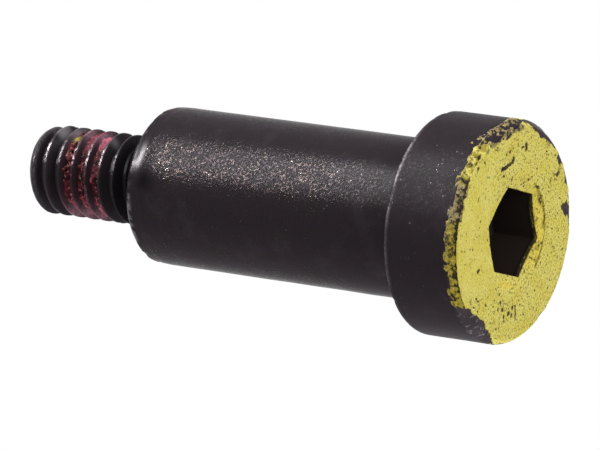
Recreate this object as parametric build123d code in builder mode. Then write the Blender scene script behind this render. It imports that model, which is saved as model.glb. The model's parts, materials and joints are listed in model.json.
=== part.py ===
import math
import os

from build123d import *

os.makedirs("parts", exist_ok=True)

# Shoulder bolt with a low cylindrical head and a hexagon socket, one forged and turned piece.
# It stands on its head: the head's end face is z = 0 and the thread points up.
# All lengths are in millimetres and all angles in degrees.

# head
head_dia = 18.7
head_height = 6.9
face_chamfer_radial = 0.5
face_chamfer_axial = 0.65
back_edge_round = 0.25

# hexagon socket, open at the head's end face
socket_across_flats = 7.05
socket_depth = 4.4
socket_floor_cone = 1.0
socket_floor_flat = 0.6
socket_floor_overlap = 0.5
socket_turn = 32.8
mouth_dia = 9.5
mouth_slope = 10.0

# shoulder
shoulder_dia = 13.5
shoulder_length = 27.5
shoulder_chamfer = 0.35
fillet_under_head = 0.4

# neck between the shoulder and the thread
neck_dia = 6.0
neck_length = 2.0
neck_fillet = 0.3
neck_run_out = 45.0

# thread, 18 turns to the inch, 5/16 inch nominal, right-handed
thread_dia = 7.75
thread_pitch = 25.4 / 18
thread_root_dia = 6.1
thread_flank = 30.0
thread_length = 12.2
groove_exit = 188.6
groove_lead = 0.2
groove_overlap = 0.05
seam_offset = 125.0
tip_chamfer_radial = 0.35
tip_chamfer_axial = 0.7

# what follows from the sizes above
shoulder_top = head_height + shoulder_length
neck_top = shoulder_top + neck_length
total_length = shoulder_top + thread_length
head_r = head_dia / 2
shoulder_r = shoulder_dia / 2
neck_r = neck_dia / 2
crest_r = thread_dia / 2
root_r = thread_root_dia / 2
run_out = (crest_r - neck_r) / math.tan(math.radians(neck_run_out))

# the V groove's half widths at its flat root and just outside the crest, whose flat is an eighth of the pitch
flank = math.tan(math.radians(thread_flank))
crest_flat = thread_pitch / 8
half_root = (thread_pitch - crest_flat) / 2 - (crest_r - root_r) * flank
outside_r = crest_r + groove_overlap
half_mouth = half_root + (outside_r - root_r) * flank

# the half section is drawn this many degrees past where the groove leaves the tip, so that
# the seam of the turned faces stays clear of the groove's end
seam = math.radians(groove_exit + seam_offset)
half_section = Plane((0, 0, 0), (math.cos(seam), math.sin(seam), 0), (math.sin(seam), -math.cos(seam), 0))

with BuildPart() as bolt:
    # the blank: head, shoulder, neck and thread land as one half section, turned about Z
    with BuildSketch(half_section):
        with BuildLine():
            Polyline(
                (0, 0),
                (head_r - face_chamfer_radial, 0),
                (head_r, face_chamfer_axial),
                (head_r, head_height),
                (shoulder_r, head_height),
                (shoulder_r, shoulder_top - shoulder_chamfer),
                (shoulder_r - shoulder_chamfer, shoulder_top),
                (neck_r, shoulder_top),
                (neck_r, neck_top),
                (crest_r, neck_top + run_out),
                (crest_r, total_length - tip_chamfer_axial),
                (crest_r - tip_chamfer_radial, total_length),
                (0, total_length),
                close=True,
            )
        make_face()
    revolve(axis=Axis.Z)

    # the head's back edge is broken, and the corners at the head and the neck are filled
    rims = bolt.edges().filter_by(GeomType.CIRCLE)
    fillet(rims.filter_by(lambda e: abs(e.radius - head_r) < 1e-6).sort_by(Axis.Z)[-1], back_edge_round)
    rims = bolt.edges().filter_by(GeomType.CIRCLE)
    fillet(rims.filter_by(lambda e: abs(e.radius - shoulder_r) < 1e-6).sort_by(Axis.Z)[0], fillet_under_head)
    rims = bolt.edges().filter_by(GeomType.CIRCLE)
    fillet(rims.filter_by(lambda e: abs(e.radius - neck_r) < 1e-6).sort_by(Axis.Z)[0], neck_fillet)

    # the mouth: a very flat cone around the hexagon
    mouth_depth = mouth_dia / 2 * math.tan(math.radians(mouth_slope))
    with BuildSketch(Plane.XZ):
        with BuildLine():
            Polyline((0, 0), (mouth_dia / 2, 0), (0, mouth_depth), close=True)
        make_face()
    revolve(axis=Axis.Z, mode=Mode.SUBTRACT)

    # the socket: a punched hexagon whose floor is a shallow cone
    with BuildSketch(Plane.XY):
        RegularPolygon(socket_across_flats / 2, 6, major_radius=False, rotation=socket_turn)
    extrude(amount=socket_depth, mode=Mode.SUBTRACT)
    with BuildSketch(Plane.XZ):
        with BuildLine():
            Polyline(
                (0, socket_depth - socket_floor_overlap),
                (socket_across_flats / 2, socket_depth - socket_floor_overlap),
                (socket_across_flats / 2, socket_depth),
                (socket_floor_flat / 2, socket_depth + socket_floor_cone),
                (0, socket_depth + socket_floor_cone),
                close=True,
            )
        make_face()
    revolve(axis=Axis.Z, mode=Mode.SUBTRACT)

    # the thread: a right-handed V groove with a flat root, from the neck out past the tip
    groove_from = neck_top + groove_lead
    groove_height = total_length + thread_pitch - groove_from
    groove_start = groove_exit - 360 * (total_length - groove_from) / thread_pitch
    with BuildSketch(Plane.XZ, mode=Mode.PRIVATE) as groove:
        with BuildLine():
            Polyline(
                (root_r, groove_from - half_root),
                (outside_r, groove_from - half_mouth),
                (outside_r, groove_from + half_mouth),
                (root_r, groove_from + half_root),
                close=True,
            )
        make_face()
    winding = Helix(thread_pitch, groove_height, root_r, center=(0, 0, groove_from))
    cutter = sweep(groove.sketch, path=winding, is_frenet=True, mode=Mode.PRIVATE)
    add(Rot(0, 0, groove_start) * cutter, mode=Mode.SUBTRACT)

bolt.part.label = "shoulder_bolt"
export_step(bolt.part, "parts/shoulder_bolt.step")
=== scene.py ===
import itertools
import json
import math

import bmesh
import bpy
import numpy as np
from mathutils import Matrix, Vector


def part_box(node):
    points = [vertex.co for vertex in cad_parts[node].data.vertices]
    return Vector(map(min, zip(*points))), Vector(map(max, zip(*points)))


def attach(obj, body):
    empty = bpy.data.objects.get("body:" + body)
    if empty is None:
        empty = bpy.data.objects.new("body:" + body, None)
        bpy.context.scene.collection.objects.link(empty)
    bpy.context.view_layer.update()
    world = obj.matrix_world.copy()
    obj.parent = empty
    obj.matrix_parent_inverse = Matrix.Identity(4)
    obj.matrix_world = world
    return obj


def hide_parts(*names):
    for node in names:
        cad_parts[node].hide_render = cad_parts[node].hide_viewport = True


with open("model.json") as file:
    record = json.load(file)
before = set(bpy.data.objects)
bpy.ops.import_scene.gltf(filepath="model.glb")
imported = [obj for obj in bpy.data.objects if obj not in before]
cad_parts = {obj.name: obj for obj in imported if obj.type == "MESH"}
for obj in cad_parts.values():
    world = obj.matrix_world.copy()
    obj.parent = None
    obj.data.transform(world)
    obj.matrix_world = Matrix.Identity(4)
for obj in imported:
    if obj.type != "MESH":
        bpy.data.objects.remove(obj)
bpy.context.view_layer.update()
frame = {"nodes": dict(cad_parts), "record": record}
print("frame loaded:", sorted(frame["nodes"]))

# sizes that the frame gives, in millimetres; every piece is worked out in millimetres and written in metres
mm = 0.001
mounts = {mount["name"]: mount for mount in frame["record"]["mounts"]}
headR = mounts["head_side"]["dims"]["r_mm"]
shoulderR = mounts["shoulder"]["dims"]["r_mm"]
crestR = mounts["thread"]["dims"]["r_mm"]
hexHalf = mounts["hex_socket"]["dims"]["r_mm"]      # half the distance across the flats
headTop = mounts["under_head"]["pos_m"][2] / mm
shoulderTop = mounts["shoulder_end"]["pos_m"][2] / mm
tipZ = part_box("shoulder_bolt")[1].z / mm
mergeWithin = 2e-7                                  # metres; points nearer than this are one
crispFrom = math.radians(38)                        # edges that bend more than this stay crisp


def smooth(low, high, x):
    # 0 on low's side, 1 on high's side, and 3t^2 - 2t^3 between them; low may be the larger of the two
    t = np.clip((x - low) / (high - low), 0, 1)
    return t * t * (3 - 2 * t)


def bell(x, centre, width):
    # exp(-((x - centre) / width)^2)
    return np.exp(-((x - centre) / width) ** 2)


def lumps(points, cell, seed):
    # smooth noise from -1 to 1: seeded random numbers on a cubic lattice with sides of cell, which repeats
    # every 32 cells, blended by smoothstep weights
    period = 32
    table = np.random.default_rng(seed).uniform(-1, 1, (period, period, period))
    q = points / cell
    base = np.floor(q).astype(int)
    t = q - base
    t = t * t * (3 - 2 * t)
    total = np.zeros(points.shape[:-1])
    for corner in itertools.product((0, 1), repeat=3):
        weight = np.prod(np.where(corner, t, 1 - t), axis=-1)
        i = (base + corner) % period
        total += weight * table[i[..., 0], i[..., 1], i[..., 2]]
    return total


def turnOf(points):
    # angle about Z in degrees, 0 at -Y and 90 at +X
    return np.degrees(np.arctan2(points[..., 0], -points[..., 1]))


def around(radius, turn, z):
    # the point at that radius and turn: (r sin t, -r cos t, z)
    a = np.radians(turn)
    radius, a, z = np.broadcast_arrays(radius, a, z)
    return np.stack([radius * np.sin(a), -radius * np.cos(a), z], axis=-1)


def nearTurn(turn, centre):
    # the turn from centre, brought to -180..180 degrees
    return (turn - centre + 180) % 360 - 180


def turnBell(turn, centre, width):
    # exp(-(d / width)^2), where d is the turn from centre
    return bell(nearTurn(turn, centre), 0, width)


def turnBand(turn, centre, inner, outer):
    # 1 within inner degrees of centre, 0 past outer degrees, smooth between them
    return smooth(outer, inner, np.abs(nearTurn(turn, centre)))


def gridPiece(name, grid, fields, material):
    # quads between neighbouring rows and columns of grid; points that coincide are merged, which closes
    # seams and poles, and fields works out the numbers that each point carries for its material
    rows, columns = grid.shape[:2]
    mesh = bpy.data.meshes.new(name)
    corner = (np.arange(rows - 1)[:, None] * columns + np.arange(columns - 1)[None, :]).ravel()
    quads = np.stack([corner, corner + 1, corner + columns + 1, corner + columns], axis=1)
    mesh.from_pydata((grid.reshape(-1, 3) * mm).tolist(), [], quads.tolist())
    form = bmesh.new()
    form.from_mesh(mesh)
    bmesh.ops.remove_doubles(form, verts=form.verts, dist=mergeWithin)
    bmesh.ops.dissolve_degenerate(form, edges=form.edges, dist=mergeWithin / 2)
    if form.calc_volume(signed=True) < 0:
        bmesh.ops.reverse_faces(form, faces=form.faces)
    form.to_mesh(mesh)
    form.free()
    points = np.empty(len(mesh.vertices) * 3)
    mesh.vertices.foreach_get("co", points)
    for key, values in fields(points.reshape(-1, 3) / mm).items():
        layer = mesh.attributes.new(key, "FLOAT", "POINT")
        layer.data.foreach_set("value", np.asarray(values, dtype=np.float32))
    mesh.shade_smooth()
    mesh.set_sharp_from_angle(angle=crispFrom)
    mesh.materials.append(material)
    piece = bpy.data.objects.new(name, mesh)
    bpy.context.scene.collection.objects.link(piece)
    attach(piece, "root")
    print(name, "made:", len(mesh.polygons), "faces")
    return piece


def run(start, end, count):
    # count points on the straight line from start towards end, without the end
    t = np.arange(count)[:, None] / count
    return (1 - t) * np.array(start) + t * np.array(end)


def arc(centre, radius, fromAngle, toAngle, count):
    # count points on a round of that radius from one angle towards the other, without the end
    a = np.radians(fromAngle + (toAngle - fromAngle) * np.arange(count) / count)
    return np.stack([centre[0] + radius * np.cos(a), centre[1] + radius * np.sin(a)], axis=1)


def newMaterial(name):
    # a material with the usual shader, its node tree and that shader
    material = bpy.data.materials.new(name)
    material.use_nodes = True
    return material, material.node_tree, material.node_tree.nodes["Principled BSDF"]


def noiseNode(tree, scale, detail, roughness):
    # noise over the object's own coordinates; scale counts features in a metre
    place = tree.nodes.new("ShaderNodeTexCoord")
    noise = tree.nodes.new("ShaderNodeTexNoise")
    noise.inputs["Scale"].default_value = scale
    noise.inputs["Detail"].default_value = detail
    noise.inputs["Roughness"].default_value = roughness
    tree.links.new(place.outputs["Object"], noise.inputs["Vector"])
    return noise.outputs["Fac"]


def rampNode(tree, value, low, high, toLow=0.0, toHigh=1.0):
    # value from low..high to toLow..toHigh by 3t^2 - 2t^3, held at the ends
    ramp = tree.nodes.new("ShaderNodeMapRange")
    ramp.interpolation_type = "SMOOTHSTEP"
    numbers = (low, high, toLow, toHigh)
    for socket, number in zip(("From Min", "From Max", "To Min", "To Max"), numbers):
        ramp.inputs[socket].default_value = number
    tree.links.new(value, ramp.inputs["Value"])
    return ramp.outputs["Result"]


def mathNode(tree, kind, first, second):
    # one sum on two values, each a socket or a number
    node = tree.nodes.new("ShaderNodeMath")
    node.operation = kind
    for socket, value in zip(node.inputs, (first, second)):
        if isinstance(value, (int, float)):
            socket.default_value = value
        else:
            tree.links.new(value, socket)
    return node.outputs[0]


def times(tree, first, second):
    # first * second
    return mathNode(tree, "MULTIPLY", first, second)


def plus(tree, first, second):
    # first + second
    return mathNode(tree, "ADD", first, second)


def larger(tree, first, second):
    # the larger of the two
    return mathNode(tree, "MAXIMUM", first, second)


def mixColour(tree, factor, first, second):
    # first where factor is 0 and second where it is 1, each a socket or a colour
    node = tree.nodes.new("ShaderNodeMix")
    node.data_type = "RGBA"
    tree.links.new(factor, node.inputs["Factor"])
    for socket, value in zip((node.inputs[6], node.inputs[7]), (first, second)):
        if isinstance(value, tuple):
            socket.default_value = (*value, 1)
        else:
            tree.links.new(value, socket)
    return node.outputs[2]


def fieldNode(tree, key):
    # a value stored on the mesh
    node = tree.nodes.new("ShaderNodeAttribute")
    node.attribute_name = key
    return node.outputs["Fac"]


def bumpNode(tree, height, depth, strength=1.0):
    # a height of 0 to 1 becomes a relief that deep, in millimetres
    node = tree.nodes.new("ShaderNodeBump")
    node.inputs["Distance"].default_value = depth * mm
    node.inputs["Strength"].default_value = strength
    tree.links.new(height, node.inputs["Height"])
    return node.outputs["Normal"]


bolt = {
    "columns": 288,             # a multiple of 6, so that the hexagon's corners fall on columns
    "hexTurn": 2.8,             # a corner of the hexagon, from -Y towards +X
    "hexDepth": 4.4,            # down to the edge of the socket's floor
    "floorCone": 1.0,           # how much deeper the floor is in its middle
    "floorFlat": 0.3,           # radius of the flat in that middle
    "mouthR": 4.75,
    "mouthSlope": 10.0,         # degrees from the end face
    "paintSeat": 0.06,          # the face is set back by the paint's thickness
    "chamferRadial": 0.5,
    "chamferAxial": 0.65,
    "backRound": 0.25,
    "fillet": 0.4,
    "leadIn": 1.4,              # the worn, polished end of the shoulder
    "leadTaper": 0.05,          # how much thinner the shoulder is there
    "endChamfer": 0.35,
    "neckR": 3.0,
    "neckFillet": 0.3,
    "neckLength": 2.0,
    "pitch": 25.4 / 18,
    "rootR": 3.05,
    "crestAt": 41.98,           # the middle of a crest on the -Y side
    "tipRadial": 0.35,
    "tipAxial": 0.7,
    # depths of the wear
    "crestWear": 0.07,
    "flankRough": 0.02,
    "nickDepth": 0.09,
    "waviness": 0.012,
    "dentDepth": 0.11,
    "stepDepth": 0.05,
    "grainDepth": 0.026,        # of the oxide, in the material
    # where it is worn or dirty, or where painted highlight or painted shade goes: the middle's turn from -Y,
    # and how far it spreads, in degrees
    "smudged": (-2, 9),
    "stepped": (15, 14),
    # painted shade in the groove by the shoulder's end
    "grooved": (14, 16),
    # the next four place painted highlights: a lighter patch on the shoulder's end, and stronger bare metal
    # on the upper back edge, the lower end edge and the crests
    "polishHighlightTurn": (18, 11),
    "backHighlight": (33, 16),
    "endHighlight": (-32, 15),
    "crestHighlight": (28, 16),
    "neckRubbed": (54, 8),
    "stainAbove": (66, 19),
    "stainBelow": (-74, 26),
    "scraped": (-64, 10, 18),   # full within the second number, gone past the third
    "knocked": (65, 12, 22),
    "smudgeZ": 32.5,            # height of the dark smudge and its dent
    "stainFrom": (39.3, 39.7),  # where the red stain fades in and out, by height
    "stainTo": (43.7, 43.1),
    "stainClimb": 0.22,         # how far the start of the stain swings up and down in a turn
    # colours
    "oxide": (0.0266, 0.0200, 0.0257),
    "oxideCool": (0.0252, 0.0208, 0.0232),
    "oxidePale": (0.0345, 0.0275, 0.0331),
    "speckColour": (0.15, 0.135, 0.13),
    "sparkColour": (0.0228, 0.0172, 0.0156),
    # the lighter patch on the shoulder's end, a painted highlight
    "polishHighlightColour": (0.056, 0.053, 0.055),
    "faceColour": (0.060, 0.048, 0.056),
    # dark smears, and painted shade in the groove by the shoulder's end and in the neck
    "sootAndShadeColour": (0.008, 0.006, 0.008),
    "socketColour": (0.030, 0.022, 0.019),
    "stainDark": (0.034, 0.009, 0.013),
    "stainPink": (0.340, 0.190, 0.235),
    "scuffColour": (0.210, 0.195, 0.210),
    # bare metal, also used for the painted highlights on edges and crests
    "bareAndHighlightColour": (0.150, 0.138, 0.142),
}

# places that follow from these sizes
faceR = headR - bolt["chamferRadial"]               # where the end face meets its chamfer
mouthRise = math.tan(math.radians(bolt["mouthSlope"]))
leadZ = shoulderTop - bolt["leadIn"]
endZ = shoulderTop - bolt["endChamfer"]
neckTop = shoulderTop + bolt["neckLength"]


def hexRadius(turn):
    # radius of the hexagon: half its flats / cos(turn from the nearest flat's middle)
    return hexHalf / np.cos(np.radians((turn - bolt["hexTurn"]) % 60 - 30))


def threadRadius(turn, z, wear=0):
    # flat crest, flanks at 60 degrees to each other and flat root around a helix; one cone runs it out at
    # the neck and another chamfers the tip
    pitch = bolt["pitch"]
    fromCrest = z - bolt["crestAt"] - pitch * turn / 360
    away = np.abs((fromCrest / pitch + 0.5) % 1 - 0.5) * pitch
    flank = crestR - (away - pitch / 16) / math.tan(math.radians(30))
    radius = np.clip(flank, bolt["rootR"], crestR - wear)
    runOut = bolt["neckR"] + z - neckTop
    tip = crestR - np.maximum(0, z - tipZ + bolt["tipAxial"]) * bolt["tipRadial"] / bolt["tipAxial"]
    return np.minimum(radius, np.minimum(runOut, tip))


def socketRows(turn):
    # hexagon socket from the middle of its floor out to the mouth: floor cone, six walls, flat cone round
    # the rim
    rim = hexRadius(turn)
    rows = []
    for share in (0, 0.09, 0.3, 0.5, 0.7, 0.85, 0.95, 0.99):
        radius = share * rim
        rise = np.clip((hexHalf - radius) / (hexHalf - bolt["floorFlat"]), 0, 1) * bolt["floorCone"]
        rows.append(around(radius, turn, bolt["hexDepth"] + rise))
    rimZ = bolt["paintSeat"] + (bolt["mouthR"] - rim) * mouthRise
    for share in np.linspace(0, 1, 15):
        rows.append(around(rim, turn, bolt["hexDepth"] + (rimZ + 0.04 - bolt["hexDepth"]) * share))
    for share in (0.03, 0.3, 0.6, 1.0):
        radius = rim + (bolt["mouthR"] - rim) * share
        rows.append(around(radius, turn, bolt["paintSeat"] + (bolt["mouthR"] - radius) * mouthRise))
    return np.array(rows)


def turnedRows(turn):
    # the turned profile from the mouth over head, shoulder and neck, carried round Z; each stretch ends
    # with its number of rows
    seat, corner = bolt["paintSeat"], bolt["chamferAxial"]
    back, fillet, neckFillet = bolt["backRound"], bolt["fillet"], bolt["neckFillet"]
    leadR = shoulderR - bolt["leadTaper"]
    endR = leadR - bolt["endChamfer"]
    neckR = bolt["neckR"]
    profile = np.concatenate([
        run((bolt["mouthR"] + 0.1, seat), (faceR - 0.05, seat), 18),
        run((faceR - 0.05, seat), (faceR + 0.06, seat + 0.05), 2),
        run((faceR + 0.06, seat + 0.05), (headR - 0.05, corner - 0.08), 6),
        run((headR - 0.05, corner - 0.08), (headR, corner + 0.08), 2),
        run((headR, corner + 0.08), (headR, headTop - back), 26),
        arc((headR - back, headTop - back), back, 0, 90, 5),
        run((headR - back, headTop), (shoulderR + fillet, headTop), 8),
        arc((shoulderR + fillet, headTop + fillet), fillet, 270, 180, 6),
        run((shoulderR, headTop + fillet), (shoulderR, leadZ - 0.2), 84),
        run((shoulderR, leadZ - 0.2), (leadR, endZ), 12),
        run((leadR, endZ), (leadR - 0.04, endZ + 0.02), 1),
        run((leadR - 0.04, endZ + 0.02), (endR, shoulderTop), 3),
        run((endR, shoulderTop), (neckR + neckFillet, shoulderTop), 8),
        arc((neckR + neckFillet, shoulderTop + neckFillet), neckFillet, 270, 180, 4),
        run((neckR, shoulderTop + neckFillet), (neckR, neckTop), 6),
    ])
    return around(profile[:, :1], turn, profile[:, 1:])


def wornTurned(points):
    # moves the turned surface in towards the axis by a slight waviness, nicks along three edges, one dent
    # and one worn step
    radius = np.hypot(points[..., 0], points[..., 1])
    z = points[..., 2]
    turn = turnOf(points)
    outer = smooth(shoulderR - 0.6, shoulderR - 0.3, radius)
    sink = bolt["waviness"] * (1 + lumps(points, 2.6, 11)) + 0.5 * bolt["waviness"] * lumps(points, 0.8, 12)
    backEdge = bell(radius, headR, 0.3) * bell(z, headTop - 0.1, 0.3)
    frontEdge = bell(radius, headR, 0.5) * bell(z, bolt["chamferAxial"], 0.35)
    endEdge = bell(radius, shoulderR, 0.4) * bell(z, endZ, 0.3)
    nick = smooth(0.25, 0.8, lumps(points, 0.45, 13)) + 0.6 * smooth(0.2, 0.7, lumps(points, 0.9, 14))
    sink = sink + bolt["nickDepth"] * nick * (backEdge + frontEdge + 1.3 * endEdge)
    dent = turnBell(turn, *bolt["smudged"]) * bell(z, bolt["smudgeZ"], 1.0) * outer
    step = turnBell(turn, *bolt["stepped"]) * bell(z, leadZ - 0.25, 0.35) * outer
    sink = sink + bolt["dentDepth"] * dent + bolt["stepDepth"] * step
    inward = np.stack([points[..., 0], points[..., 1], np.zeros_like(z)], axis=-1)
    inward = inward / np.maximum(radius, 1e-6)[..., None]
    return points - inward * (sink * outer)[..., None]


def threadRows(columnTurn):
    # rows that climb one pitch a turn, so that crests and roots lie on them; both ends are cut square
    pitch = bolt["pitch"]
    land = pitch / 16                               # half of the crest's flat
    offsets = np.array([-land, -0.03, 0.03, land, 0.17, 0.26, 0.35, 0.45, 0.565,
                        0.63, 0.706, 0.78, 0.846, 0.96, 1.06, 1.15, 1.24])     # one pitch of rows
    firstTurn = math.floor((neckTop - bolt["crestAt"]) / pitch) - 2
    lastTurn = math.ceil((tipZ - bolt["crestAt"]) / pitch) + 2
    starts = bolt["crestAt"] + pitch * np.arange(firstTurn, lastTurn)
    rowZ = (starts[:, None] + offsets[None, :]).ravel()
    turn = columnTurn[None, :]
    z = np.clip(rowZ[:, None] + pitch * turn / 360, neckTop, tipZ)
    spot = around(crestR, turn, z)
    rubbed = 0.25 + 0.45 * smooth(-0.2, 0.9, lumps(spot, 0.7, 21))
    rubbed = rubbed + 0.5 * smooth(0.3, 0.9, lumps(spot, 0.3, 22))
    radius = threadRadius(turn, z, bolt["crestWear"] * rubbed)
    rough = bolt["flankRough"] * lumps(around(radius, turn, z), 0.35, 23)
    rough = rough * smooth(neckTop, neckTop + 1, z) * smooth(tipZ, tipZ - 0.5, z)
    return around(radius + np.minimum(rough, 0), turn, z)


def steelFields(points):
    # a number from 0 to 1 at each point, a product of steps and bells over radius, height and turn.
    # wear: bare metal along edges and crests, made stronger as painted highlights on the upper back edge, the
    # lower end edge and the crests; polishHighlight: a rubbed, smoother patch on the shoulder's end, made
    # lighter as a painted highlight; plain: fewer grains; sootAndShade: dark smears, and painted shade in the
    # groove by the shoulder's end and in the neck; dull: less gloss; dust: the greyer end face; stain: red by
    # the locking coat, pinker where blush is high; scuff: grey rubs on the thread; hollow: inside the socket;
    # scraped: scratches on the chamfer
    radius = np.hypot(points[:, 0], points[:, 1])
    z = points[:, 2]
    turn = turnOf(points)
    patches = smooth(-0.5, 0.7, lumps(points, 1.6, 31))
    crumbs = smooth(-0.3, 0.4, lumps(points, 0.35, 33))
    side = smooth(shoulderR - 0.5, shoulderR - 0.3, radius)

    backEdge = smooth(headR - 0.22, headR - 0.06, radius) * bell(z, headTop - 0.2, 0.10)
    endEdge = side * bell(z, endZ - 0.02, 0.20) * crumbs
    crest = smooth(crestR - 0.16, crestR - 0.05, radius) * smooth(shoulderTop + 3.0, shoulderTop + 4.0, z)
    tipEdge = smooth(tipZ - 1.0, tipZ - 0.6, z) * smooth(crestR - 0.42, crestR - 0.3, radius)
    # the turn bells make the bare metal stronger where edges and crests catch the light: painted highlights
    wear = backEdge * (0.15 + 0.35 * patches + 0.5 * turnBell(turn, *bolt["backHighlight"]))
    wear = wear + endEdge * (0.2 + 3.0 * turnBell(turn, *bolt["endHighlight"]))
    wear = wear + crest * (0.05 + 0.15 * patches + 0.3 * turnBell(turn, *bolt["crestHighlight"]))
    wear = wear + 0.4 * tipEdge * (1 - crest)

    # painted highlight: a smoother, lighter, more metallic patch on the shoulder's end, where the light is
    # reflected
    lead = smooth(leadZ - 0.15, leadZ + 0.15, z) * side
    polishHighlight = lead * turnBell(turn, *bolt["polishHighlightTurn"]) * smooth(endZ + 0.15, endZ - 0.1, z)
    polishHighlight = polishHighlight * smooth(endZ - 1.2, endZ - 0.5, z)
    socket = (radius < hexHalf + 0.6) * smooth(0.3, 0.8, z) * (z < 7)
    head = smooth(8.5, 9.0, radius)
    foot = smooth(17, 8, z) * (z > headTop)         # the shoulder near the head
    thread = smooth(crestR + 0.2, crestR, radius) * smooth(shoulderTop + 0.2, shoulderTop + 1, z)

    groove = bell(z, leadZ - 0.35, 0.35) * side * turnBell(turn, *bolt["grooved"])
    smudge = turnBell(turn, *bolt["smudged"]) * bell(z, bolt["smudgeZ"], 1.2) * side
    acrossSmudge = np.radians(nearTurn(turn, bolt["smudged"][0])) * shoulderR / 0.9
    ring = bell(np.hypot((z - bolt["smudgeZ"] + 0.1) / 1.2, acrossSmudge), 1.15, 0.35)
    neck = smooth(shoulderTop - 0.1, shoulderTop, z) * smooth(shoulderTop + 3.4, shoulderTop + 3.0, z)
    knocked = turnBand(turn, *bolt["knocked"]) * smooth(8.0, 8.4, radius) * smooth(1.2, 0.7, z)
    # painted shade: the groove by the shoulder's end and the neck's recess are darkened, along with the
    # smudge and the knocked-off stretch
    sootAndShade = 0.8 * groove + smudge * (0.75 - 0.5 * ring) + 0.7 * neck + 0.45 * knocked
    plain = lead + smudge + 0.8 * head + 0.85 * foot + thread + socket
    scraped = turnBand(turn, *bolt["scraped"]) * smooth(8.2, 8.5, radius) * smooth(1.1, 0.5, z)

    dust = smooth(bolt["chamferAxial"] + 0.25, bolt["chamferAxial"] - 0.05, z) * smooth(7.0, 7.6, radius)
    climbed = z - bolt["stainClimb"] * np.sin(np.radians(turn))
    coated = smooth(*bolt["stainFrom"], climbed) * smooth(*bolt["stainTo"], z)
    above = turnBell(turn, *bolt["stainAbove"])
    below = turnBell(turn, *bolt["stainBelow"])
    blotch = smooth(-0.6, 0.5, lumps(points, 0.9, 34))
    stain = coated * (0.5 + 0.5 * np.clip(above + below, 0, 1)) * (0.65 + 0.35 * blotch)
    scuff = smooth(42.6, 43.6, z) * smooth(tipZ + 0.2, tipZ - 0.9, z) * above * blotch
    neckScuff = turnBell(turn, *bolt["neckRubbed"]) * bell(z, 39.1, 0.35) * (radius < crestR + 0.1)
    scuff = scuff + 0.6 * neckScuff
    return {"wear": np.clip(wear, 0, 1), "polishHighlight": polishHighlight, "plain": np.clip(plain, 0, 1),
            "sootAndShade": np.clip(sootAndShade, 0, 1), "dull": head * (z > bolt["chamferAxial"]) + 0.4 * foot,
            "dust": dust * (0.6 + 0.4 * patches), "stain": stain,
            "blush": np.clip(above + 0.65 * below, 0, 1), "scuff": np.clip(scuff, 0, 1),
            "hollow": socket, "scraped": scraped}


def oxideSteel():
    # dark purplish oxide with paler clouds and rare specks; grains with a little metal in them catch the
    # light; on top, each field of the mesh mixes in its own colour, painted highlights and painted shade
    # among them, and bare metal with its painted highlights comes last
    material, tree, shader = newMaterial("black_oxide_steel")
    wear, polishHighlight, sootAndShade = [fieldNode(tree, key) for key in ("wear", "polishHighlight", "sootAndShade")]
    grain = noiseNode(tree, 4600, 2.0, 0.6)
    glitter = noiseNode(tree, 4600, 2.5, 0.7)
    fine = noiseNode(tree, 9000, 1.0, 0.5)
    cloud = noiseNode(tree, 380, 3.0, 0.6)
    tint = noiseNode(tree, 1100, 2.0, 0.5)
    scratches = noiseNode(tree, 2400, 2.0, 0.6)

    grained = mathNode(tree, "SUBTRACT", 1.0, times(tree, fieldNode(tree, "plain"), 0.9))
    patchy = times(tree, rampNode(tree, cloud, 0.36, 0.56, 0.5, 1.0),
                   rampNode(tree, tint, 0.36, 0.60, 0.45, 1.1))
    spark = times(tree, rampNode(tree, glitter, 0.53, 0.60), times(tree, grained, patchy))
    speck = times(tree, rampNode(tree, fine, 0.71, 0.76), rampNode(tree, tint, 0.54, 0.64))
    bareAndHighlight = times(tree, wear, rampNode(tree, grain, 0.3, 0.6, 0.35, 1.0))
    scratched = times(tree, fieldNode(tree, "scraped"), rampNode(tree, scratches, 0.585, 0.63, 0.0, 0.9))
    bareAndHighlight = larger(tree, bareAndHighlight, scratched)
    stain = times(tree, fieldNode(tree, "stain"), rampNode(tree, grain, 0.35, 0.6, 0.5, 1.0))
    stainColour = mixColour(tree, fieldNode(tree, "blush"), bolt["stainDark"], bolt["stainPink"])

    colour = mixColour(tree, rampNode(tree, tint, 0.38, 0.62), bolt["oxide"], bolt["oxideCool"])
    layers = [
        (rampNode(tree, cloud, 0.50, 0.74), bolt["oxidePale"]),
        (speck, bolt["speckColour"]),
        (spark, bolt["sparkColour"]),
        # painted highlight on the shoulder's end
        (polishHighlight, bolt["polishHighlightColour"]),
        (fieldNode(tree, "dust"), bolt["faceColour"]),
        # dark smears and painted shade
        (sootAndShade, bolt["sootAndShadeColour"]),
        (fieldNode(tree, "hollow"), bolt["socketColour"]),
        (stain, stainColour),
        (fieldNode(tree, "scuff"), bolt["scuffColour"]),
        # bare metal, with painted highlights on edges and crests
        (bareAndHighlight, bolt["bareAndHighlightColour"]),
    ]
    for factor, over in layers:
        colour = mixColour(tree, factor, colour, over)
    tree.links.new(colour, shader.inputs["Base Color"])

    metal = larger(tree, times(tree, polishHighlight, 0.4), bareAndHighlight)
    metal = larger(tree, metal, times(tree, spark, 0.38))
    tree.links.new(larger(tree, metal, speck), shader.inputs["Metallic"])
    rough = rampNode(tree, cloud, 0.3, 0.7, 0.19, 0.25)
    for field, added in ((polishHighlight, 0.07), (sootAndShade, 0.15), (wear, 0.15), (fieldNode(tree, "dull"), 0.16)):
        rough = plus(tree, rough, times(tree, field, added))
    tree.links.new(rough, shader.inputs["Roughness"])
    shader.inputs["IOR"].default_value = 1.063
    height = times(tree, plus(tree, grain, times(tree, fine, 0.3)), grained)
    tree.links.new(bumpNode(tree, height, bolt["grainDepth"]), shader.inputs["Normal"])
    return material


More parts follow.
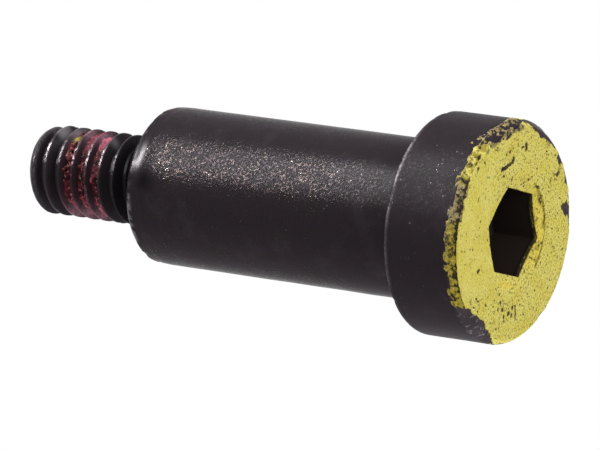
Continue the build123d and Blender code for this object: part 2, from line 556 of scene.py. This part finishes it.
columnTurn = bolt["hexTurn"] + np.linspace(0, 360, bolt["columns"] + 1)
boltGrid = np.concatenate([
    socketRows(columnTurn),
    wornTurned(turnedRows(columnTurn)),
    threadRows(columnTurn),
    around(np.array([[2.6], [1.3], [0.0]]), columnTurn[None, :], tipZ),     # the tip's end face
])
boltPiece = gridPiece("bolt_steel", boltGrid, steelFields, oxideSteel())
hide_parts("shoulder_bolt")


paint = {
    "columns": 600,
    "rowsOut": 110,
    "thick": 0.06,
    "lip": 0.6,                 # how far it ran down the socket's walls on one side
    "lipLeast": 0.12,           # and on the other
    "lipTurn": -150,            # the side where it ran furthest
    "grainDepth": 0.014,
    "pitDepth": 0.038,
    "chipSize": 1.18,           # grows or shrinks the chips listed below
    "sunk": 0.02,               # how far under the steel the skin lies where the paint is gone
    "under": 0.03,              # how far under the steel the skin's back lies
    "crumbsTurn": 67,           # the knocked-off stretch, with crumbs of paint left on it
    "grimeTurn": -12,           # the middle of the chamfer's pitted stretch
    "grimeFrom": (-58, -46),    # the turns over which the chamfer's grime fades in and out
    "grimeTo": (28, 19),
    "smearTurn": 11,            # a brown smear over the face's edge
    "upperTurn": 42,            # a lightly soiled stretch of the chamfer
    "keyTurn": 166,             # the far side of the mouth: keys have rubbed its rim, and dirt with painted shade darkens its cone
    "mouthLightTurn": -86,           # painted light: warmer, brighter paint on the mouth's lower side
    "wipedTurn": -8,            # the face is cleanest towards here
    # colours
    "yellow": (0.68, 0.57, 0.080),
    "yellowLight": (0.73, 0.65, 0.15),
    "pale": (0.80, 0.73, 0.23),
    "grit": (0.23, 0.195, 0.05),
    "speck": (0.09, 0.07, 0.025),
    "warm": (0.80, 0.61, 0.06),
    "pit": (0.060, 0.041, 0.015),
    "grime": (0.33, 0.26, 0.022),
    "grimeAshen": (0.26, 0.20, 0.075),
    "fleck": (0.50, 0.42, 0.08),
    "fleckAshen": (0.54, 0.45, 0.28),
    "grimeDark": (0.014, 0.009, 0.004),
    # painted shade deep in the socket
    "shadeInSocket": (0.014, 0.012, 0.004),
}

# how far the paint reaches out along face, chamfer and side, in millimetres from the axis, by turn from -Y
paintReach = [(-180, 9.35), (-160, 9.30), (-140, 9.30), (-134, 8.85), (-128, 9.30), (-105, 9.55),
              (-92, 9.45), (-84, 9.05), (-76, 8.45), (-66, 8.28), (-58, 8.32), (-49, 8.75),
              (-44, 9.58), (-36, 9.68), (-24, 9.72), (-12, 9.88), (-3, 10.02), (5, 9.73),
              (14, 9.68), (24, 9.76), (34, 9.82), (43, 9.75), (48, 9.30), (54, 8.62),
              (66, 8.12), (76, 8.48), (82, 9.10), (87, 9.35), (92, 8.85), (98, 8.58),
              (107, 8.52), (117, 8.80), (124, 8.85), (140, 8.75), (160, 8.80), (172, 9.00),
              (180, 9.35)]

# chips and knocks in the paint: turn from -Y, distance out, size along the turn, size outwards, depth
paintChips = [(131, 8.80, 0.48, 0.36, 1.7), (135, 8.25, 0.24, 0.30, 1.0), (136.6, 7.80, 0.22, 0.32, 1.1),
              (162, 8.35, 0.55, 0.55, 1.5), (159, 7.75, 0.30, 0.30, 1.1), (168, 8.95, 0.60, 0.30, 1.6),
              (56.5, 5.97, 0.22, 0.20, 1.1), (60, 5.95, 0.28, 0.17, 1.1), (64, 5.94, 0.28, 0.18, 1.1),
              (68, 5.94, 0.30, 0.22, 1.15), (71.5, 6.00, 0.27, 0.26, 1.15), (73.2, 6.26, 0.17, 0.34, 1.1),
              (89, 7.30, 0.20, 0.20, 1.1), (90, 7.02, 0.16, 0.16, 1.0), (86, 7.10, 0.20, 0.09, 0.9),
              (69, 7.00, 0.24, 0.14, 0.9), (64, 6.92, 0.16, 0.18, 0.8), (72, 7.20, 0.14, 0.12, 0.8),
              (55, 7.97, 0.16, 0.24, 0.9), (45.6, 8.75, 0.26, 0.20, 0.9), (40, 8.20, 0.10, 0.20, 0.7),
              (33, 8.65, 0.18, 0.22, 0.8), (25, 8.90, 0.22, 0.16, 0.8), (70, 4.58, 0.15, 0.22, 1.0),
              (103, 4.60, 0.22, 0.13, 0.9), (98, 3.95, 0.18, 0.10, 0.9), (125, 4.90, 0.20, 0.14, 1.0),
              (138, 4.48, 0.20, 0.16, 1.0), (142, 4.45, 0.18, 0.14, 1.0), (-35, 6.08, 0.14, 0.20, 1.0),
              (-83, 5.85, 0.12, 0.14, 0.9), (-88, 6.44, 0.17, 0.18, 1.1), (-97, 6.67, 0.16, 0.24, 1.1),
              (-102, 6.24, 0.13, 0.14, 0.9), (-101, 6.92, 0.13, 0.18, 1.0), (-106, 6.75, 0.10, 0.60, 0.9),
              (-81, 6.49, 0.15, 0.14, 0.9), (-91, 6.92, 0.15, 0.17, 1.0), (-92, 7.30, 0.12, 0.12, 0.9),
              (-78, 5.30, 0.12, 0.12, 0.8), (-64, 6.90, 0.13, 0.12, 0.8), (-84, 8.05, 0.12, 0.12, 0.8)]


def paintPath(reach, turn):
    # place and tilt where a path from the socket over mouth, face, chamfer and side has gone out that far;
    # the tilt is the angle of its outward direction, from straight down towards straight out
    rim = hexRadius(turn)
    chamferLength = math.hypot(bolt["chamferRadial"], bolt["chamferAxial"])
    seat = bolt["paintSeat"]
    inWall = np.maximum(0, rim - reach)
    onChamfer = np.clip((reach - faceR) / chamferLength, 0, 1)
    onSide = np.maximum(0, reach - faceR - chamferLength)
    radius = np.clip(reach, rim, faceR) + onChamfer * bolt["chamferRadial"]
    z = seat + np.clip(bolt["mouthR"] - np.maximum(reach, rim), 0, None) * mouthRise + inWall
    z = z + onChamfer * (bolt["chamferAxial"] - seat) + onSide
    tilt = np.radians(38) * smooth(faceR - 0.1, faceR + 0.15, reach)
    tilt = tilt + np.radians(52) * smooth(faceR + chamferLength - 0.15, faceR + chamferLength + 0.1, reach)
    tilt = tilt - np.radians(90) * smooth(0.12, -0.05, reach - rim)
    return radius, z, tilt


def paintThickness(reach, turn, limit):
    # full inside the limit, crumbs past it in one stretch; grain, pits and chips take it down to the steel,
    # and where nothing is left the skin lies just under the steel
    radius, z, _ = paintPath(reach, turn)
    spot = around(radius, turn, z)
    crumbling = turnBand(turn, paint["crumbsTurn"], 14, 22)
    ragged = limit + 0.20 * lumps(spot, 0.7, 41) + 0.13 * lumps(spot, 0.28, 42)
    ragged = ragged + crumbling * 0.22 * lumps(spot, 0.36, 53)
    cover = smooth(0.05, -0.12, reach - ragged)
    crumbs = smooth(0.14, 0.20, lumps(spot, 0.24, 54) + 0.50 * lumps(spot, 0.8, 55))
    cover = np.maximum(cover, 0.9 * crumbs * crumbling * smooth(1.5, 0.9, reach - limit))
    grain = lumps(spot, 0.16, 46) + 0.8 * lumps(spot, 0.45, 47) + lumps(spot, 1.6, 48)

    pits = smooth(0.50, 0.78, lumps(spot, 0.26, 43)) * smooth(0.0, 0.6, lumps(spot, 1.5, 44))
    pits = pits + 0.8 * smooth(0.58, 0.82, lumps(spot, 0.17, 45))
    ring = bell(reach, bolt["mouthR"] + 0.03, 0.10) * turnBand(turn, paint["keyTurn"], 38, 52)
    ring = ring * smooth(-0.6, 0.1, lumps(spot, 0.8, 49))
    raggedChip = 1 + 0.5 * lumps(spot, 0.22, 50)
    chipped = np.zeros_like(reach)
    for chipTurn, chipReach, wide, tall, depth in paintChips:
        across = np.radians(nearTurn(turn, chipTurn)) * chipReach / (wide * paint["chipSize"])
        out = (reach - chipReach) / (tall * paint["chipSize"])
        chipped = np.maximum(chipped, depth * smooth(1.25, 0.6, np.hypot(across, out) / raggedChip))
    onChamfer = smooth(faceR - 0.02, headR - 0.38, reach)
    grimy = onChamfer * turnBand(turn, paint["grimeTurn"], 34, 42) * smooth(0.15, 0.6, lumps(spot, 0.3, 51))
    gone = np.clip(0.9 * ring + pits + chipped + 0.3 * grimy, 0, 1.7)
    left = (paint["thick"] + paint["grainDepth"] * grain) * cover - paint["pitDepth"] * gone
    return np.maximum(left, 0) - paint["sunk"] * (1 - smooth(0.0, 0.01, left))


def paintGrid():
    # outer skin: rows step out from inside the socket to past the ragged edge, each point moved along its
    # tilt by the thickness; under-skin: the same way back, just under the steel
    turn = np.linspace(-180, 180, paint["columns"] + 1)[None, :]
    knots = np.array(paintReach)
    limit = np.interp(turn, knots[:, 0], knots[:, 1])
    lipShare = smooth(65, 120, np.abs(nearTurn(turn, paint["lipTurn"] + 180)))
    inner = hexRadius(turn) - paint["lipLeast"] - (paint["lip"] - paint["lipLeast"]) * lipShare
    outer = limit + 0.45 + turnBand(turn, paint["crumbsTurn"], 18, 26) * 1.1
    share = np.linspace(0, 1, paint["rowsOut"])[:, None]
    reach = inner + (outer - inner) * share
    radius, z, tilt = paintPath(reach, turn)
    ends = smooth(0, 0.03, share) * smooth(1, 0.97, share)
    height = paintThickness(reach, turn, limit) * ends - paint["sunk"] * (1 - ends)
    top = around(radius + height * np.sin(tilt), turn, z - height * np.cos(tilt))
    bottom = around(radius - paint["under"] * np.sin(tilt), turn, z + paint["under"] * np.cos(tilt))
    return np.concatenate([top, bottom[::-4], bottom[:1], top[:1]])


def paintFields(points):
    # a number at each point, a product of steps and bells over radius, height and turn.
    # dirtAndShade: grime on the chamfer, the smear, the knocked-off stretch and round the mouth, where the
    # far side's cone also gets painted shade; ashen: where the grime is browner; thin: skin near the steel;
    # darkerInward: the chamfer's grime, darker towards its inner edge; socketShade: painted shade, darker
    # deeper in the socket; mouthLight: painted light, warmer paint round the mouth; gritty: less where the
    # face was wiped clean
    radius = np.hypot(points[:, 0], points[:, 1])
    turn = turnOf(points)
    z = points[:, 2]
    mouthR, seat = bolt["mouthR"], bolt["paintSeat"]
    chamfer = smooth(faceR - 0.02, faceR + 0.10, radius) * smooth(seat - 0.02, 0.16, z)
    grimy = smooth(*paint["grimeTo"], turn) * smooth(*paint["grimeFrom"], turn)
    upper = turnBand(turn, paint["upperTurn"], 14, 26)
    nearEdge = smooth(faceR - 0.3, faceR + 0.05, radius + 0.25 * lumps(points, 0.4, 62))
    smear = turnBand(turn, paint["smearTurn"], 7, 13) * nearEdge
    knocked = turnBand(turn, paint["crumbsTurn"], 13, 22) * smooth(8.0, 8.7, radius)
    # on the far side of the mouth the cone is darkened by dirt and painted shade, and a dark ring runs round
    # its rim
    shadedMouthSide = turnBand(turn, paint["keyTurn"], 40, 60)
    mouth = smooth(mouthR + 0.16, mouthR - 0.06, radius) * shadedMouthSide
    rim = bell(radius, mouthR + 0.05, 0.17) * shadedMouthSide
    dirtAndShade = chamfer * (1.1 * grimy + 0.9 * upper * smooth(-0.3, 0.5, lumps(points, 0.5, 61)))
    dirtAndShade = dirtAndShade + 0.9 * smear + 0.9 * knocked + 0.65 * mouth * smooth(-0.6, 0.6, lumps(points, 0.5, 63))
    dirtAndShade = dirtAndShade + 0.6 * rim + 0.35 * upper * nearEdge
    steelZ = seat + np.maximum(0, mouthR - radius) * mouthRise
    thin = smooth(0.046, 0.024, steelZ - z) * (radius < faceR) * (z < 0.5)
    rimZ = seat + (mouthR - hexRadius(turn)) * mouthRise
    # painted shade: darker the deeper the paint runs into the socket
    shadeInSocket = smooth(0.04, 0.42, z - rimZ) * (radius < 5)
    # painted light: warmer paint on the mouth's lower side, and, with the dirt, on its far side
    mouthLight = turnBell(turn, paint["mouthLightTurn"], 16) * bell(radius, mouthR - 0.35, 0.35) * (z < 0.3)
    gritty = 0.35 + 0.85 * smooth(20, 75, np.abs(nearTurn(turn, paint["wipedTurn"])))
    # the chamfer's grime, darker towards its inner edge
    darkerInward = chamfer * grimy * smooth(faceR + 0.26, faceR + 0.06, radius)
    return {"dirtAndShade": np.clip(dirtAndShade, 0, 1.2), "ashen": np.clip(smear + knocked, 0, 1), "thin": thin,
            "darkerInward": darkerInward, "socketShade": shadeInSocket, "mouthLight": mouthLight + 0.8 * mouth, "gritty": gritty}


def yellowPaint():
    # mottled yellow with fine dark grit and brown pits, warmer where painted light falls on the mouth; where
    # the dirtAndShade field is high it turns to grime, dirty yellow with black-brown streaks, partly painted
    # shade on the mouth; painted shade makes it near black inside the socket
    material, tree, shader = newMaterial("yellow_paint")
    gritty, ashen = fieldNode(tree, "gritty"), fieldNode(tree, "ashen")
    cloud = noiseNode(tree, 500, 3.0, 0.6)
    grit = noiseNode(tree, 5200, 3.0, 0.7)
    speck = noiseNode(tree, 3000, 1.5, 0.5)
    streak = noiseNode(tree, 2300, 4.0, 0.68)

    colour = mixColour(tree, rampNode(tree, cloud, 0.35, 0.68), paint["yellow"], paint["yellowLight"])
    layers = [
        (rampNode(tree, grit, 0.52, 0.36, 0.0, 0.6), paint["pale"]),
        (times(tree, rampNode(tree, grit, 0.52, 0.64, 0.0, 0.85), gritty), paint["grit"]),
        (times(tree, rampNode(tree, speck, 0.64, 0.71, 0.0, 0.9), gritty), paint["speck"]),
        # painted light on the mouth
        (times(tree, fieldNode(tree, "mouthLight"), 0.6), paint["warm"]),
        (fieldNode(tree, "thin"), paint["pit"]),
    ]
    for factor, over in layers:
        colour = mixColour(tree, factor, colour, over)

    soil = mixColour(tree, ashen, paint["grime"], paint["grimeAshen"])
    flecks = mixColour(tree, ashen, paint["fleck"], paint["fleckAshen"])
    grime = mixColour(tree, rampNode(tree, grit, 0.54, 0.62, 0.0, 0.85), soil, flecks)
    # the streaks grow darker towards the chamfer's inner edge
    streaked = plus(tree, streak, times(tree, fieldNode(tree, "darkerInward"), 0.20))
    grime = mixColour(tree, rampNode(tree, streaked, 0.46, 0.59), grime, paint["grimeDark"])
    dirty = plus(tree, fieldNode(tree, "dirtAndShade"), rampNode(tree, grit, 0.3, 0.7, -0.25, 0.25))
    colour = mixColour(tree, rampNode(tree, dirty, 0.2, 0.8), colour, grime)
    # painted shade: the paint turns near black deeper in the socket
    deep = plus(tree, fieldNode(tree, "socketShade"), rampNode(tree, grit, 0.3, 0.7, -0.12, 0.12))
    colour = mixColour(tree, rampNode(tree, deep, 0.1, 0.8), colour, paint["shadeInSocket"])
    tree.links.new(colour, shader.inputs["Base Color"])
    shader.inputs["Roughness"].default_value = 0.8
    shader.inputs["IOR"].default_value = 1.3
    height = plus(tree, grit, times(tree, speck, -1.2))
    tree.links.new(bumpNode(tree, height, 0.04, 0.8), shader.inputs["Normal"])
    return material


paintPiece = gridPiece("yellow_paint_mark", paintGrid(), paintFields, yellowPaint())


lock = {
    "columns": 288,
    "rows": 110,
    "fromZ": 39.22,             # at the -Y side
    "toZ": 43.30,
    "ragged": 0.16,             # how far its ends wander up and down
    "fill": 0.45,               # share of the groove's depth that it fills
    "lumpy": 0.24,
    "belowCrest": 0.04,         # it stays this far under the crests
    "under": 0.03,              # how far under the steel its edges and back lie
    "middleR": 3.5,             # where its lumps are worked out
    # the pinker parts, towards the upper and lower sides: the middle's turn from -Y, and how far they
    # spread, in degrees
    "pinkAbove": (62, 22),
    "pinkBelow": (-72, 24),
    "yellowFleck": (53, 6),
    "yellowZ": 43.05,
    # colours
    "dark": (0.009, 0.002, 0.003),
    "red": (0.110, 0.013, 0.018),
    "scuffed": (0.42, 0.17, 0.19),
    "pink": (0.56, 0.15, 0.22),
    "grey": (0.085, 0.055, 0.062),
    "yellow": (0.34, 0.29, 0.06),
}


def lockSurface(turn, z):
    # a lumpy fill between the crests: root + depth * (fill + lumps), or the steel where that is higher
    steel = threadRadius(turn, z)
    spot = around(lock["middleR"], turn, z)
    lump = 0.7 * lumps(spot, 0.5, 71) + 0.5 * lumps(spot, 0.24, 72)
    level = lock["fill"] + lock["lumpy"] * lump + 0.12 * lumps(spot, 1.6, 73)
    fill = bolt["rootR"] + (crestR - bolt["rootR"]) * level
    return np.maximum(np.minimum(fill, crestR - lock["belowCrest"]), steel - lock["under"])


def lockGrid():
    # outer skin over the coat's rows, and the way back just under the steel, closed at both ragged ends
    turn = (bolt["hexTurn"] + np.linspace(0, 360, lock["columns"] + 1))[None, :]
    sway = bolt["pitch"] / (2 * math.pi) * np.sin(np.radians(turn))
    spot = around(lock["middleR"], turn, 0.0)
    low = lock["fromZ"] + sway + lock["ragged"] * lumps(spot, 0.8, 76)
    high = lock["toZ"] + sway + lock["ragged"] * lumps(spot, 0.8, 77)
    share = np.linspace(0, 1, lock["rows"])[:, None]
    z = low + (high - low) * share
    ends = smooth(0, 0.06, share) * smooth(1, 0.94, share)
    under = threadRadius(turn, z) - lock["under"]
    top = around(under + (lockSurface(turn, z) - under) * ends, turn, z)
    bottom = around(under - 0.02, turn, z)
    return np.concatenate([top, bottom[::-3], bottom[:1], top[:1]])


def lockFields(points):
    # rubbed: greyer where it stands up to the crests; pink: pinker towards the upper and lower sides;
    # yellow: one fleck
    radius = np.hypot(points[:, 0], points[:, 1])
    turn = turnOf(points)
    z = points[:, 2]
    rubbed = smooth(crestR - 0.22, crestR - 0.03, radius)
    pink = turnBell(turn, *lock["pinkAbove"]) * smooth(42.2, 40.6, z)
    pink = pink + 0.5 * turnBell(turn, *lock["pinkBelow"])
    yellow = turnBell(turn, *lock["yellowFleck"]) * bell(z, lock["yellowZ"], 0.35)
    return {"rubbed": rubbed, "pink": np.clip(pink, 0, 1), "yellow": yellow}


def redLocker():
    # dark to full red with light scuffs, pinker, greyer or yellow where the fields say
    material, tree, shader = newMaterial("red_locking_coat")
    cloud = noiseNode(tree, 1500, 3.0, 0.6)
    grit = noiseNode(tree, 3600, 3.0, 0.6)
    colour = mixColour(tree, rampNode(tree, cloud, 0.40, 0.64), lock["dark"], lock["red"])
    layers = [
        (rampNode(tree, grit, 0.56, 0.66, 0.0, 0.9), lock["scuffed"]),
        (times(tree, fieldNode(tree, "pink"), 0.8), lock["pink"]),
        (times(tree, fieldNode(tree, "rubbed"), 0.6), lock["grey"]),
        (fieldNode(tree, "yellow"), lock["yellow"]),
    ]
    for factor, over in layers:
        colour = mixColour(tree, factor, colour, over)
    tree.links.new(colour, shader.inputs["Base Color"])
    tree.links.new(rampNode(tree, grit, 0.3, 0.7, 0.5, 0.7), shader.inputs["Roughness"])
    shader.inputs["IOR"].default_value = 1.10
    tree.links.new(bumpNode(tree, plus(tree, grit, cloud), 0.03, 0.8), shader.inputs["Normal"])
    return material


lockPiece = gridPiece("red_locking_coat", lockGrid(), lockFields, redLocker())


stage = {
    "floorRadius": 0.45,
    "floorFade": (0.05, 0.36),  # where the floor starts to fade and where it is clear
    "floorDrop": 0.00005,
    "floorColour": (0.90, 0.90, 0.90),
    "worldLight": 0.45,         # the world's strength for all but the eye and reflections
    "lampAim": (0, 0, 0.022),
    # a wide soft lamp, left out of reflections
    "softbox": {"at": (0.245, -0.085, 0.160), "long": (0, 0, 1), "size": (0.26, 0.24), "power": 1.05},
    # the streak along the shoulder: seen in reflections only
    "glint": {"at": (0.175, -0.185, 0.180), "long": (0.674, 0.665, -0.33), "size": (0.25, 0.042),
              "power": 3.95},
    # lifts the side towards -X, left out of reflections
    "fill": {"at": (-0.25, 0.06, 0.06), "long": (0, 0, 1), "size": (0.09, 0.30), "power": 0.78},
    # lights the painted end face from below
    "endLight": {"at": (0.16, -0.10, -0.34), "long": (1, 0, 0), "size": (0.25, 0.25), "power": 0.87},
    "lens": 342.2,
    "from": (0.0, -0.4043, -0.2354),
    "at": (-0.0018, -0.009169, 0.014951),
    "upwards": (0.9903, -0.0709, 0.1192),
}


def paleFloor():
    # pale near the bolt and clear further out and from below, where the white world shows instead
    material, tree, shader = newMaterial("pale_floor")
    shader.inputs["Base Color"].default_value = (*stage["floorColour"], 1)
    shader.inputs["Roughness"].default_value = 0.9
    place = tree.nodes.new("ShaderNodeTexCoord")
    length = tree.nodes.new("ShaderNodeVectorMath")
    length.operation = "LENGTH"
    tree.links.new(place.outputs["Object"], length.inputs[0])
    far = rampNode(tree, length.outputs["Value"], *stage["floorFade"])
    below = tree.nodes.new("ShaderNodeNewGeometry").outputs["Backfacing"]
    clear = tree.nodes.new("ShaderNodeBsdfTransparent")
    mix = tree.nodes.new("ShaderNodeMixShader")
    tree.links.new(larger(tree, far, below), mix.inputs["Fac"])
    tree.links.new(shader.outputs["BSDF"], mix.inputs[1])
    tree.links.new(clear.outputs["BSDF"], mix.inputs[2])
    tree.links.new(mix.outputs["Shader"], tree.nodes["Material Output"].inputs["Surface"])
    return material


def makeFloor():
    # a disc just under the head; only the camera sees it, so it takes the bolt's shadow and hides no light
    # from below
    form = bmesh.new()
    bmesh.ops.create_circle(form, cap_ends=True, segments=96, radius=stage["floorRadius"])
    bmesh.ops.translate(form, verts=form.verts, vec=(0, 0, -stage["floorDrop"]))
    mesh = bpy.data.meshes.new("floor")
    form.to_mesh(mesh)
    form.free()
    mesh.materials.append(paleFloor())
    floor = bpy.data.objects.new("floor", mesh)
    bpy.context.scene.collection.objects.link(floor)
    floor.visible_diffuse = False
    floor.visible_glossy = False
    floor.visible_transmission = False
    floor.visible_shadow = False


def makeWorld():
    # white to the eye and in reflections, and a plain fill light for everything else
    world = bpy.data.worlds.new("studio")
    bpy.context.scene.world = world
    world.use_nodes = True
    tree = world.node_tree
    path = tree.nodes.new("ShaderNodeLightPath").outputs
    seen = larger(tree, path["Is Camera Ray"], path["Is Glossy Ray"])
    seen = larger(tree, seen, path["Is Transmission Ray"])
    background = tree.nodes["Background"]
    tree.links.new(rampNode(tree, seen, 0, 1, stage["worldLight"], 1.0), background.inputs["Strength"])
    background.inputs["Color"].default_value = (1, 1, 1, 1)


def facing(place, target, sideways):
    # at that place, turned so that -Z looks at the target and X lies as near to sideways as it can
    back = (Vector(place) - Vector(target)).normalized()
    side = Vector(sideways)
    side = (side - back * side.dot(back)).normalized()
    turn = Matrix((side, back.cross(side), back)).transposed()
    return Matrix.Translation(place) @ turn.to_4x4()


def makeLamp(name):
    # a rectangular lamp that faces the bolt, its long side along the given direction
    values = stage[name]
    light = bpy.data.lights.new(name, "AREA")
    light.shape = "RECTANGLE"
    light.size, light.size_y = values["size"]
    light.energy = values["power"]
    lamp = bpy.data.objects.new(name, light)
    lamp.matrix_world = facing(values["at"], stage["lampAim"], values["long"])
    bpy.context.scene.collection.objects.link(lamp)
    return lamp


def makeCamera():
    # looks up at the head's end from below; its right-hand side is square to upwards and to the line of sight
    camera = bpy.data.objects.new("camera", bpy.data.cameras.new("camera"))
    camera.data.lens = stage["lens"]
    camera.data.sensor_width = 36
    sight = Vector(stage["from"]) - Vector(stage["at"])
    camera.matrix_world = facing(stage["from"], stage["at"], Vector(stage["upwards"]).cross(sight))
    camera.data.clip_start = 0.01
    bpy.context.scene.collection.objects.link(camera)
    bpy.context.scene.camera = camera


makeFloor()
makeWorld()
makeLamp("softbox").visible_glossy = False
makeLamp("glint").visible_diffuse = False
makeLamp("fill").visible_glossy = False
makeLamp("endLight")
makeCamera()
bpy.context.scene.view_settings.view_transform = "Standard"
print("stage set")
